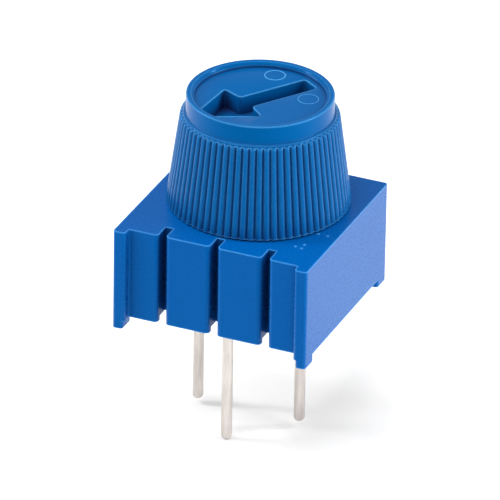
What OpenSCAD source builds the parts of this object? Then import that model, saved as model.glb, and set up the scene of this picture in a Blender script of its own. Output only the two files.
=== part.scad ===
// Sealed single-turn trimmer potentiometer with a finger knob, in millimetres.
// The circuit board's surface is z = 0, +Z points up, and the slotted face looks towards -Y.
// x = 0, y = 0 is the middle of the housing in plan. The knob turns about a line set back from it.

/* [Housing] */
// Width of the housing, across the slotted face
body_w = 9.53; // [7.9:0.01:12]
// Depth of the housing, from the corner pillars to the back face
body_d = 9.53; // [7.9:0.01:12]
// Height of the moulding, from its lower rim to its top face
body_h = 4.59; // [3.8:0.01:6]
// Radius of the upright outer corners
corner_r = 0.15; // [0.05:0.01:0.3]
// Thickness of the side and back walls
side_wall = 0.7; // [0.5:0.01:0.9]
// Thickness of the top wall
top_wall = 0.8; // [0.6:0.01:1.1]
// Width of each front corner pillar
pillar_w = 0.61; // [0.5:0.01:0.8]
// How far the pillars stand proud of the front blocks
pillar_proud = 0.45; // [0.2:0.01:0.6]
// Width of each upright slot in the front
slot_w = 0.38; // [0.25:0.01:0.6]
// Depth of each upright slot, from the blocks' face
slot_depth = 0.9; // [0.5:0.01:1.2]
// Wall left between the slots and the inside
slot_wall = 0.35; // [0.25:0.01:0.6]
// Radius of the blocks' upright edges beside the slots
slot_edge_r = 0.2; // [0.05:0.01:0.25]
// Height of the feet, from the board to the lower rim
foot_h = 0.38; // [0.25:0.01:0.6]
// Width of each foot
foot_w = 0.5; // [0.35:0.01:0.6]
// Length of each foot, front to back
foot_l = 1.0; // [0.6:0.01:1.5]
// Height of the front blocks' lower edge above the rim
block_lift = 0.08; // [0.02:0.01:0.2]
// Thickness of the lip along each block's lower edge
lip_t = 0.33; // [0.2:0.01:0.5]
// Step up behind that lip
lip_step = 0.22; // [0.1:0.01:0.4]

/* [Terminals] */
// Spacing of the terminal grid
pitch = 2.54; // [2.2:0.01:2.6]
// Radius of a terminal
pin_r = 0.255; // [0.2:0.005:0.3]
// Length of terminal 2 below the board's surface
pin_drop = 5.88; // [3:0.01:8]
// Length of terminals 1 and 3 below the board's surface
outer_pin_drop = 5.62; // [3:0.01:8]
// Radius of the collar that locks a terminal in the sealant
collar_r = 0.42; // [0.35:0.01:0.48]
// Distance from the front inner wall to the middle terminal
pin_inset = 0.6; // [0.5:0.01:0.8]
// Length of a terminal standing above the substrate
pin_head = 0.3; // [0.2:0.01:0.45]
// Radius of a solder joint
solder_r = 0.45; // [0.35:0.01:0.48]
// Height of a solder joint
solder_h = 0.4; // [0.3:0.01:0.5]

/* [Element] */
// Height of the sealant's lower face above the rim
sealant_recess = 0.17; // [0.05:0.01:0.3]
// Thickness of the ceramic substrate
substrate_t = 0.6; // [0.5:0.01:0.7]
// Gap round the substrate
substrate_gap = 0.05; // [0.02:0.01:0.1]
// Thickness of the printed films
film_t = 0.05; // [0.03:0.01:0.08]
// Radius of the middle of the resistive track
track_r = 1.65; // [1.5:0.01:1.75]
// Width of the resistive track
track_w = 0.7; // [0.4:0.01:0.8]
// Angle left open between the track's ends
track_gap = 80; // [60:1:100]
// Radius of the round pad at each terminal
pad_r = 0.5; // [0.48:0.01:0.52]
// Width of the printed leads
lead_w = 0.5; // [0.3:0.01:0.6]

/* [Rotor] */
// Distance from the middle of the housing back to the turning axis
axis_back = 0.86; // [0.6:0.01:1]
// Gap between the rotor disc's edge and the back wall
disc_gap = 0.3; // [0.1:0.01:0.4]
// Thickness of the rotor disc
disc_t = 0.55; // [0.4:0.01:0.7]
// Radius of the shaft
shaft_r = 1.15; // [1:0.01:1.2]
// Running gap between the shaft and the housing
run_gap = 0.05; // [0.02:0.01:0.08]
// Depth of the flat on the shaft
flat_depth = 0.35; // [0.2:0.01:0.5]
// Room above the disc for the stops
stop_room = 0.42; // [0.35:0.01:0.5]
// Angle taken by each stop
stop_angle = 25; // [15:1:30]
// Radius of the sealing ring's cord
seal_r = 0.3; // [0.25:0.01:0.32]
// Squeeze of the sealing ring on the shaft
seal_squeeze = 0.03; // [0.01:0.01:0.05]
// Room under the disc for the wiper
wiper_room = 0.85; // [0.75:0.01:1]
// Thickness of the wiper's metal
wiper_t = 0.08; // [0.06:0.01:0.12]
// Width of a wiper finger
finger_w = 0.14; // [0.1:0.01:0.16]
// Gap left under the wiper's contacts
contact_gap = 0.02; // [0.01:0.01:0.04]

/* [Knob] */
// Gap under the knob
knob_gap = 0.07; // [0.05:0.01:0.3]
// Radius of the fluted skirt at its lower edge
skirt_r_low = 4.235; // [4.1:0.005:5]
// Radius of the fluted skirt at its shoulder
skirt_r_high = 3.63; // [3.55:0.01:4]
// Height of the fluted skirt
skirt_h = 4.47; // [3.5:0.01:6]
// Radius of the plain ring above the shoulder
ring_r = 3.38; // [3.3:0.01:3.5]
// Height of the plain ring
ring_h = 0.89; // [0.5:0.01:1.5]
// Radius of the recess in the top
recess_r = 3.0; // [2.8:0.01:3.1]
// Depth of the recess in the top
recess_depth = 0.25; // [0.1:0.01:0.4]
// Number of flutes
flutes = 72; // [48:1:80]
// Depth of the grooves between the flutes
flute_depth = 0.1; // [0.06:0.01:0.14]
// Thickness of the skirt behind the grooves
skirt_wall = 0.6; // [0.4:0.01:0.8]
// Thickness of the plate under the arrow
plate_t = 0.5; // [0.4:0.01:0.8]
// Radius of the hub inside the knob
hub_r = 1.9; // [1.7:0.01:2.2]
// Thickness of the webs between hub and skirt
web_t = 0.5; // [0.3:0.01:0.8]
// Gap between the shaft and its socket
socket_gap = 0.02; // [0.01:0.01:0.04]

/* [Arrow] */
// Direction of the arrow at rest, anticlockwise from +X
arrow_dir = -124.5; // [-134:0.5:-46]
// Depth of the arrow below the recess
arrow_depth = 0.9; // [0.5:0.01:1.2]
// Width of the arrow's shaft
arrow_shaft_w = 1.0; // [0.7:0.01:1.3]
// Width of the arrow's head across its barbs
arrow_head_w = 3.1; // [2.4:0.01:3.5]
// Distance from the axis to the barbs
arrow_barb = 0.94; // [0.6:0.01:1.2]
// How far the barbs lie ahead of where the shaft meets the head
arrow_sweep = 0.24; // [0:0.01:0.4]
// Half of the head's point angle
arrow_half_angle = 29.4; // [25:0.1:40]
// Distance from the arrow's tail to the recess wall
arrow_tail_gap = 0.29; // [0.1:0.01:0.5]

/* [Hidden] */
$fn = 64;

// A cut runs past the face that it opens by this much
over = 1;
// Two shapes that merge run into each other by this much
bite = 0.3;

// Heights, from the board up
body_top = foot_h + body_h;
ceiling_z = body_top - top_wall;
disc_top = ceiling_z - stop_room;
disc_low = disc_top - disc_t;
substrate_top = disc_low - wiper_room;
substrate_low = substrate_top - substrate_t;
sealant_low = foot_h + sealant_recess;
film_top = substrate_top + film_t;
knob_low = body_top + knob_gap;
shoulder_z = knob_low + skirt_h;
knob_top = shoulder_z + ring_h;
recess_floor = knob_top - recess_depth;
arrow_floor = recess_floor - arrow_depth;
socket_top = arrow_floor - plate_t;

// Places in plan
front_y = -body_d / 2;
block_y = front_y + pillar_proud;
slot_floor_y = block_y + slot_depth;
inner_front_y = slot_floor_y + slot_wall;
inner_back_y = body_d / 2 - side_wall;
inner_w = body_w - 2 * side_wall;
inner_d = inner_back_y - inner_front_y;
pin_2_y = inner_front_y + pin_inset;
outer_pins_y = pin_2_y + pitch;
pin_1 = [-pitch, outer_pins_y];
pin_2 = [0, pin_2_y];
pin_3 = [pitch, outer_pins_y];
axis_at = [0, axis_back];
// Each end pad's lead turns in this far past the end of the track
end_turn = 8;

// The rotor, its seal and its stops
disc_r = inner_back_y - axis_back - disc_gap;
seal_mid_r = shaft_r - seal_squeeze + seal_r;
seal_clear = 0.05;
seal_seat_r = seal_mid_r + seal_r + 2 * seal_clear;
seal_seat_top = disc_top + 2 * seal_r + seal_clear;
stop_low_r = seal_seat_r + 0.1;
stop_clear = 0.05;
// With the arrow towards the terminal 2 side the rotor is in the middle of its travel
mid_dir = -90;
lug_dir = arrow_dir + 180;

// The wiper's plate and fingers
wiper_r = track_r + 0.65;
finger_run = 1.15;
finger_count = 4;
finger_step = 0.17;
post_r = 0.2;
post_head_r = 0.32;
post_head_t = 0.1;
posts_at = [[0.95, -0.95], [-0.95, -0.95]];

// The knob's flutes
rib_r = 0.4 * 360 / flutes * PI / 180 * skirt_r_low;
rib_top_gap = 0.2;
skirt_tilt = atan((skirt_r_low - skirt_r_high) / skirt_h);

// A rectangle between two corners, with its corners rounded
module rounded_rect(low, high, r) {
    for (x = [low.x + r, high.x - r], y = [low.y + r, high.y - r])
        translate([x, y]) circle(r);
    translate([low.x + r, low.y]) square([high.x - low.x - 2 * r, high.y - low.y]);
    translate([low.x, low.y + r]) square([high.x - low.x, high.y - low.y - 2 * r]);
}

// A bar of the given width from one point to another
module bar(from, to, w) {
    run = to - from;
    translate(from) rotate(atan2(run.y, run.x))
        translate([0, -w / 2]) square([norm(run), w]);
}

// The front blocks, from pillar to slot and from slot to slot
module block_outlines() {
    edges = [
        [-body_w / 2 + pillar_w - bite, -pitch - slot_w / 2],
        [-pitch + slot_w / 2, -slot_w / 2],
        [slot_w / 2, pitch - slot_w / 2],
        [pitch + slot_w / 2, body_w / 2 - pillar_w + bite],
    ];
    for (edge = edges)
        rounded_rect([edge[0], block_y], [edge[1], slot_floor_y + slot_edge_r + bite], slot_edge_r);
}

// The housing seen from above
module housing_outline() {
    rounded_rect([-body_w / 2, slot_floor_y], [body_w / 2, body_d / 2], corner_r);
    block_outlines();
    for (side = [-1, 1])
        translate([side * (body_w / 2 - pillar_w / 2), 0])
            rounded_rect([-pillar_w / 2, front_y], [pillar_w / 2, slot_floor_y + bite + corner_r], corner_r);
}

module feet() {
    for (side = [-1, 1], y = [front_y, body_d / 2 - foot_l])
        translate([side * (body_w - foot_w) / 2, y])
            rounded_rect([-foot_w / 2, 0], [foot_w / 2, foot_l], corner_r);
}

// A stop: an arc of wall between two radii, its middle in the given direction
module stop_arc(r_low, r_high, h, dir) {
    rotate([0, 0, dir - stop_angle / 2])
        rotate_extrude(angle = stop_angle)
            translate([r_low, 0]) square([r_high - r_low, h]);
}

module housing() {
    color("royalblue") {
        difference() {
            translate([0, 0, foot_h]) linear_extrude(body_h) housing_outline();
            // The inside, open below
            translate([-inner_w / 2, inner_front_y, foot_h - over])
                cube([inner_w, inner_d, ceiling_z - foot_h + over]);
            // The blocks' lower edge, then the step behind their lip
            translate([-body_w / 2 + pillar_w, front_y - over, foot_h - over])
                cube([body_w - 2 * pillar_w, inner_front_y + bite - front_y + over, over + block_lift]);
            translate([-body_w / 2 + pillar_w, block_y + lip_t, foot_h])
                cube([body_w - 2 * pillar_w, inner_front_y + bite - block_y - lip_t, block_lift + lip_step]);
            // The bearing for the shaft and the seat of its sealing ring
            translate([axis_at.x, axis_at.y, ceiling_z - over])
                cylinder(r = shaft_r + run_gap, h = top_wall + 2 * over);
            translate([axis_at.x, axis_at.y, ceiling_z - over])
                cylinder(r = seal_seat_r, h = seal_seat_top - ceiling_z + over);
        }
        linear_extrude(foot_h + bite) feet();
        // The fixed stop hangs from the top wall, on the terminal 2 side
        translate([axis_at.x, axis_at.y, disc_top + stop_clear])
            stop_arc(stop_low_r, disc_r, ceiling_z + bite - disc_top - stop_clear, mid_dir);
    }
}

module sealant() {
    color("gainsboro")
    difference() {
        translate([-inner_w / 2, inner_front_y, sealant_low])
            cube([inner_w, inner_d, substrate_low - sealant_low]);
        for (at = [pin_1, pin_2, pin_3])
            translate([at.x, at.y, sealant_low - over])
                cylinder(r = collar_r, h = substrate_low - sealant_low + 2 * over);
    }
}

// One terminal: a round lead with a rounded end, a collar in the sealant and a head above the substrate
module terminal(at, drop) {
    color("silver")
    translate([at.x, at.y, 0]) {
        translate([0, 0, pin_r - drop]) sphere(pin_r);
        translate([0, 0, pin_r - drop]) cylinder(r = pin_r, h = drop - pin_r + substrate_top + pin_head);
        translate([0, 0, sealant_low]) cylinder(r = collar_r, h = substrate_low - sealant_low);
    }
}

module terminal_1() { terminal(pin_1, outer_pin_drop); }
module terminal_2() { terminal(pin_2, pin_drop); }
module terminal_3() { terminal(pin_3, outer_pin_drop); }

// One solder joint: a low cone round the terminal's head
module solder_joint(at) {
    color("lightgray")
    translate([at.x, at.y, film_top])
        rotate_extrude()
            polygon([
                [pin_r, 0], [solder_r, 0], [solder_r - 0.03, 0.06],
                [pin_r + 0.08, solder_h - film_t - 0.12], [pin_r, solder_h - film_t - 0.12],
            ]);
}

module solder_joint_1() { solder_joint(pin_1); }
module solder_joint_2() { solder_joint(pin_2); }
module solder_joint_3() { solder_joint(pin_3); }

module pin_holes() {
    for (at = [pin_1, pin_2, pin_3])
        translate(at) circle(pin_r);
}

module substrate() {
    color("linen")
    translate([0, 0, substrate_low]) linear_extrude(substrate_t)
        difference() {
            translate([-inner_w / 2 + substrate_gap, inner_front_y + substrate_gap])
                square([inner_w - 2 * substrate_gap, inner_d - 2 * substrate_gap]);
            pin_holes();
        }
}

// The open ring of the track, its gap towards terminal 2
module track_outline() {
    reach = 3 * track_r;
    translate(axis_at)
        difference() {
            circle(track_r + track_w / 2);
            circle(track_r - track_w / 2);
            polygon([
                [0, 0],
                reach * [cos(mid_dir - track_gap / 2), sin(mid_dir - track_gap / 2)],
                reach * [cos(mid_dir), sin(mid_dir)] * 2,
                reach * [cos(mid_dir + track_gap / 2), sin(mid_dir + track_gap / 2)],
            ]);
        }
}

module resistive_track() {
    color("dimgray") translate([0, 0, substrate_top]) linear_extrude(film_t) track_outline();
}

// The printed conductor from one end of the track, round its outside, to a terminal
module end_pad(at, side) {
    dir = mid_dir + side * (track_gap / 2 - end_turn);
    track_end = axis_at + track_r * [cos(dir), sin(dir)];
    corner = axis_at + (track_r + track_w) * [cos(dir), sin(dir)];
    color("silver")
    translate([0, 0, substrate_top]) linear_extrude(film_t)
        difference() {
            union() {
                translate(at) circle(pad_r);
                bar(at, corner, lead_w);
                translate(corner) circle(lead_w / 2);
                bar(corner, track_end, lead_w);
                translate(track_end) circle(track_w / 2);
            }
            track_outline();
            pin_holes();
        }
}

module end_pad_1() { end_pad(pin_1, -1); }
module end_pad_3() { end_pad(pin_3, 1); }

// The printed disc in the middle, led out through the track's gap to terminal 2
module collector() {
    color("silver")
    translate([0, 0, substrate_top]) linear_extrude(film_t)
        difference() {
            union() {
                translate(axis_at) circle(track_r - track_w / 2 - 0.35);
                bar(axis_at, pin_2, lead_w);
                translate(pin_2) circle(pad_r);
            }
            pin_holes();
        }
}

module rotor() {
    shaft_h = socket_top - disc_top;
    flat_from = knob_low + 0.2;
    color("ivory")
    translate([axis_at.x, axis_at.y, 0]) {
        translate([0, 0, disc_low]) cylinder(r = disc_r, h = disc_t);
        difference() {
            translate([0, 0, disc_top - bite]) cylinder(r = shaft_r, h = shaft_h + bite);
            rotate([0, 0, arrow_dir])
                translate([shaft_r - flat_depth, -over - shaft_r, flat_from])
                    cube([shaft_r, 2 * (shaft_r + over), shaft_h + over]);
        }
        translate([0, 0, disc_top - bite])
            stop_arc(stop_low_r, disc_r - 0.02, bite + stop_room - stop_clear, lug_dir);
        rotate([0, 0, lug_dir - 90])
            for (at = posts_at)
                translate([at.x, at.y, disc_low - wiper_t - post_head_t]) {
                    cylinder(r = post_r, h = wiper_t + post_head_t + bite);
                    cylinder(r = post_head_r, h = post_head_t);
                }
    }
}

module sealing_ring() {
    color("dimgray")
    translate([axis_at.x, axis_at.y, disc_top + seal_r])
        rotate_extrude() translate([seal_mid_r, 0]) circle(seal_r);
}

// One springy finger: it leaves the plate and slopes down along +X to its round contact
module finger(at_y) {
    contact_r = 0.09;
    contact_z = film_top + contact_gap + contact_r;
    fall = disc_low - wiper_t / 2 - contact_z;
    slope = atan(fall / finger_run);
    translate([-finger_run, at_y, disc_low - wiper_t / 2])
        rotate([0, slope, 0])
            translate([0, -finger_w / 2, -wiper_t / 2])
                cube([norm([finger_run, fall]), finger_w, wiper_t]);
    translate([0, at_y, contact_z])
        rotate([90, 0, 0]) cylinder(r = contact_r, h = finger_w, center = true);
}

module wiper() {
    window_w = finger_count * finger_step + 0.12;
    color("goldenrod")
    translate([axis_at.x, axis_at.y, 0]) rotate([0, 0, lug_dir - 90]) {
        difference() {
            translate([0, 0, disc_low - wiper_t]) cylinder(r = wiper_r, h = wiper_t);
            // Windows that the fingers are bent down from
            translate([-finger_run + 0.2, track_r - window_w / 2, disc_low - over])
                cube([finger_run + wiper_r, window_w, 2 * over]);
            translate([-finger_run + 0.2, -0.2, disc_low - over])
                cube([finger_run + 0.1, 0.4, 2 * over]);
            for (at = posts_at)
                translate([at.x, at.y, disc_low - over]) cylinder(r = post_r, h = 2 * over);
        }
        for (i = [0 : finger_count - 1])
            finger(track_r + (i - (finger_count - 1) / 2) * finger_step);
        finger(0);
    }
}

// The knob's turned shape, before its flutes, webs and arrow
module knob_core() {
    rotate_extrude()
        polygon([
            [shaft_r / 2, knob_low], [hub_r, knob_low], [hub_r, socket_top],
            [skirt_r_high - skirt_wall, socket_top],
            [skirt_r_low - skirt_wall - flute_depth, knob_low], [skirt_r_low - flute_depth, knob_low],
            [skirt_r_high - flute_depth, shoulder_z], [ring_r, shoulder_z],
            [ring_r, knob_top], [recess_r, knob_top], [recess_r, recess_floor],
            [0, recess_floor], [0, socket_top], [shaft_r / 2, socket_top],
        ]);
}

// One rib of the fluted skirt, standing along the slope of the skirt
module rib() {
    intersection() {
        translate([skirt_r_low - rib_r, 0, knob_low])
            rotate([0, -skirt_tilt, 0])
                translate([0, 0, -over]) cylinder(r = rib_r, h = skirt_h + 2 * over, $fn = 24);
        translate([0, -rib_r * 2, knob_low])
            cube([skirt_r_low * 2, rib_r * 4, skirt_h - rib_top_gap]);
    }
}

// The arrow's outline, pointing along +X. Its point runs out to the recess wall.
module arrow_outline() {
    half_head = arrow_head_w / 2;
    point = arrow_barb + half_head / tan(arrow_half_angle);
    notch = arrow_barb - arrow_sweep;
    tail = -(recess_r - arrow_tail_gap);
    intersection() {
        circle(recess_r);
        union() {
            polygon([[point, 0], [arrow_barb, half_head], [notch, 0], [arrow_barb, -half_head]]);
            translate([tail, -arrow_shaft_w / 2]) square([notch - tail + 0.1, arrow_shaft_w]);
        }
    }
}

module knob() {
    color("royalblue")
    translate([axis_at.x, axis_at.y, 0]) rotate([0, 0, arrow_dir])
        difference() {
            union() {
                knob_core();
                for (i = [0 : flutes - 1]) rotate([0, 0, i * 360 / flutes]) rib();
                for (turn = [0, 90])
                    rotate([0, 0, turn + 45])
                        translate([-skirt_r_high + skirt_wall, -web_t / 2, knob_low + 1.5])
                            cube([2 * (skirt_r_high - skirt_wall), web_t, socket_top + bite - knob_low - 1.5]);
            }
            translate([0, 0, arrow_floor]) linear_extrude(arrow_depth + over) arrow_outline();
            // The socket, with a flat that matches the shaft's
            translate([0, 0, knob_low - over])
                difference() {
                    cylinder(r = shaft_r + socket_gap, h = socket_top - knob_low + over);
                    translate([shaft_r - flat_depth + socket_gap, -over - shaft_r, over + 0.2])
                        cube([shaft_r, 2 * (shaft_r + over), socket_top - knob_low]);
                }
        }
}

housing();
sealant();
terminal_1();
terminal_2();
terminal_3();
solder_joint_1();
solder_joint_2();
solder_joint_3();
substrate();
resistive_track();
end_pad_1();
end_pad_3();
collector();
rotor();
sealing_ring();
wiper();
knob();
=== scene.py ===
"""The looks of a small square trimmer potentiometer with a fluted finger knob, built on its frame."""

import logging
import math
from collections.abc import Callable, Iterable, Sequence
from dataclasses import dataclass, field
from enum import Enum
from functools import cache

import bmesh
import bpy
from bmesh.types import BMEdge, BMesh, BMVert
from bpy.types import Material, NodeSocket, Object, ShaderNodeTree
from mathutils import Euler, Matrix, Vector


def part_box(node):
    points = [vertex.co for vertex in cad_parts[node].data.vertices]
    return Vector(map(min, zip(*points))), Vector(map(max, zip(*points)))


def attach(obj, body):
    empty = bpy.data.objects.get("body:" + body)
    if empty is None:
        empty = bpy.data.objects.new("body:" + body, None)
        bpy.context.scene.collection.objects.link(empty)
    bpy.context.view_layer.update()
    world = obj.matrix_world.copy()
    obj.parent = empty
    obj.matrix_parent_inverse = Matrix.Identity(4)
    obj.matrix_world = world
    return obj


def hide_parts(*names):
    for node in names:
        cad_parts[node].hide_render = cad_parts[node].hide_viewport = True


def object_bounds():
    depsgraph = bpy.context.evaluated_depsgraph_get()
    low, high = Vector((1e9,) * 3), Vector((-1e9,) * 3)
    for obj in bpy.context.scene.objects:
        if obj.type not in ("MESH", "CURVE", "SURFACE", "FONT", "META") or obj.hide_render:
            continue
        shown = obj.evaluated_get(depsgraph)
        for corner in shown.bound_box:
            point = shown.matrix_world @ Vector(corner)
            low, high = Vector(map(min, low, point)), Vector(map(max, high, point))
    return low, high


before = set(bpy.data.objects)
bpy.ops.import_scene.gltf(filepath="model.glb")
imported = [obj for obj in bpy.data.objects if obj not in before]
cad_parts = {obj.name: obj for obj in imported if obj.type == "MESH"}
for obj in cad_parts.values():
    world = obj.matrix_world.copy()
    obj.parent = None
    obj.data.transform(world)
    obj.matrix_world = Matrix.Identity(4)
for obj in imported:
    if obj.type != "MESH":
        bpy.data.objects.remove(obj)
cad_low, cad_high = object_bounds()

MM = 0.001

log = logging.getLogger("trimmer")

RGB = tuple[float, float, float]
Ring = tuple[Callable[[float], float], float]

# Places closer than this are the same
SAME = MM / 1000
# How far shapes that are joined or cut reach into one another
LAP = 0.1 * MM


class Body(Enum):
    """The bodies of the frame that pieces ride on."""

    HOUSING = "housing"
    ROTOR = "rotor"


class Join(Enum):
    """How shapes are combined with an object."""

    ADD = "UNION"
    CUT = "DIFFERENCE"


# ----- Mesh helpers -----


def arc(centre: Vector, radius: float, start: float, end: float, steps: int = 5) -> list[Vector]:
    """Points along a circular arc in plan.

    Args:
        centre: The arc's centre.
        radius: Its radius.
        start: The first point's direction, in degrees.
        end: The last point's direction, in degrees.
        steps: How many stretches the arc is cut into.

    Returns:
        The points from start to end.
    """
    turns = [math.radians(start + (end - start) * i / steps) for i in range(steps + 1)]
    return [Vector((centre.x + radius * math.cos(a), centre.y + radius * math.sin(a), 0)) for a in turns]


def rounded_box(low: Vector, high: Vector, radius: float) -> list[Vector]:
    """The outline of a box in plan, with rounded corners.

    Args:
        low: The lowest corner.
        high: The highest corner.
        radius: The corners' radius.

    Returns:
        The outline's points, anticlockwise.
    """
    left, right = low.x + radius, high.x - radius
    front, back = low.y + radius, high.y - radius
    centres = ((left, front), (right, front), (right, back), (left, back))
    return [p for i, c in enumerate(centres) for p in arc(Vector(c), radius, 180 + 90 * i, 270 + 90 * i)]


def quarter(steps: int = 4) -> list[tuple[float, float]]:
    """Steps up a quarter round.

    Args:
        steps: How many stretches it is cut into.

    Returns:
        For each step, how far it has drawn in and how far it has yet to rise, as shares of the radius.
    """
    turns = [math.radians(90 * i / steps) for i in range(steps + 1)]
    return [(1 - math.cos(a), 1 - math.sin(a)) for a in turns]


def prism(bm: BMesh, outline: Sequence[Vector], low: float, high: float) -> None:
    """Extrudes a plan outline into a closed prism.

    Args:
        bm: The mesh to add to.
        outline: The corners of the outline, anticlockwise from above.
        low: The height of its underside.
        high: The height of its top.
    """
    base = bm.faces.new([bm.verts.new((p.x, p.y, low)) for p in outline])
    made = bmesh.ops.extrude_face_region(bm, geom=[base])["geom"]
    lifted = [v for v in made if isinstance(v, BMVert)]
    bmesh.ops.translate(bm, verts=lifted, vec=(0, 0, high - low))
    faces = {f for v in lifted for f in v.link_faces} | {base}
    bmesh.ops.recalc_face_normals(bm, faces=list(faces))


def block(bm: BMesh, low: Vector, high: Vector) -> list[BMVert]:
    """Adds a box between two corners.

    Args:
        bm: The mesh to add to.
        low: The lowest corner.
        high: The highest corner.

    Returns:
        The box's vertices.
    """
    size = high - low
    place = Matrix.Translation((low + high) / 2) @ Matrix.Diagonal((*size, 1))
    return bmesh.ops.create_cube(bm, size=1, matrix=place)["verts"]


def lathe(bm: BMesh, directions: Sequence[float], rings: Iterable[Ring],
          centre: Vector) -> list[list[BMVert]]:
    """Extrudes a circle ring by ring, each with its own radius rule and height.

    Args:
        bm: The mesh to add to.
        directions: The direction of each upright line of vertices, in radians.
        rings: For each ring, the radius in a given direction and the height.
        centre: The axis in plan.

    Returns:
        The vertices of each ring, in order.
    """
    verts = bmesh.ops.create_circle(bm, cap_ends=False, segments=len(directions), radius=1)["verts"]
    made: list[list[BMVert]] = []
    last: set[BMVert] = set()
    for radius, height in rings:
        if last:
            edges = [e for v in made[-1] for e in v.link_edges if e.other_vert(v) in last]
            grown = bmesh.ops.extrude_edge_only(bm, edges=list(dict.fromkeys(edges)))["geom"]
            new = {v for v in grown if isinstance(v, BMVert)}
            verts = [next(e.other_vert(v) for e in v.link_edges if e.other_vert(v) in new) for v in made[-1]]
        for vert, a in zip(verts, directions):
            r = radius(a)
            vert.co = (centre.x + r * math.cos(a), centre.y + r * math.sin(a), height)
        last = set(verts)
        made.append(list(verts))
    return made


def crease(bm: BMesh, sharp: float = 35.0) -> None:
    """Shades a mesh smooth, but keeps its sharp edges.

    Args:
        bm: The mesh.
        sharp: Edges sharper than this angle, in degrees, stay creased.
    """
    limit = math.radians(sharp)
    for face in bm.faces:
        face.smooth = True
    for edge in bm.edges:
        edge.smooth = len(edge.link_faces) != 2 or edge.calc_face_angle(0) < limit


def finished(bm: BMesh, name: str, sharp: float = 35.0) -> Object:
    """Turns a mesh into a smooth-shaded object at the origin, creased at its sharp edges.

    Args:
        bm: The mesh, which is freed.
        name: The object's name.
        sharp: Edges sharper than this angle, in degrees, stay creased.

    Returns:
        The new object.
    """
    crease(bm, sharp)
    mesh = bpy.data.meshes.new(name)
    bm.to_mesh(mesh)
    bm.free()
    made = bpy.data.objects.new(name, mesh)
    bpy.context.scene.collection.objects.link(made)
    return made


def soften(bm: BMesh, edges: list[BMEdge], radius: float, segments: int = 3, clamp: bool = False) -> None:
    """Rounds some edges of a mesh.

    Args:
        bm: The mesh.
        edges: The edges to round.
        radius: The radius.
        segments: How many flats make the round.
        clamp: Whether rounds that would meet are held back.
    """
    bmesh.ops.bevel(bm, geom=edges, offset=radius, offset_type="OFFSET", segments=segments, profile=0.5,
                    affect="EDGES", material=-1, clamp_overlap=clamp)


def combined(body: Object, shapes: BMesh, how: Join) -> None:
    """Adds closed shapes to an object or takes them away, and keeps the result in the object.

    Args:
        body: The object that is changed.
        shapes: The shapes, which are freed.
        how: Whether they are added or taken away.
    """
    tool = finished(shapes, f"{body.name}_tool")
    step = body.modifiers.new("combine", "BOOLEAN")
    step.operation = how.value
    step.solver = "EXACT"
    step.use_self = True
    step.object = tool
    settled = bpy.data.meshes.new_from_object(body.evaluated_get(bpy.context.evaluated_depsgraph_get()))
    body.modifiers.clear()
    body.data = settled
    bpy.data.objects.remove(tool)


def hold_flat(bm: BMesh, border: float) -> None:
    """Puts a narrow border inside each large flat face that doesn't face down, so that it shades flat.

    Args:
        bm: The mesh.
        border: The width of the border.
    """
    large_area = 0.3 * MM * MM
    facing_down = -0.5
    bm.normal_update()
    large = [f for f in bm.faces if f.calc_area() > large_area and f.normal.z > facing_down]
    bmesh.ops.inset_individual(bm, faces=large, thickness=border, use_even_offset=True)


# ----- Shader helpers -----


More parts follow.
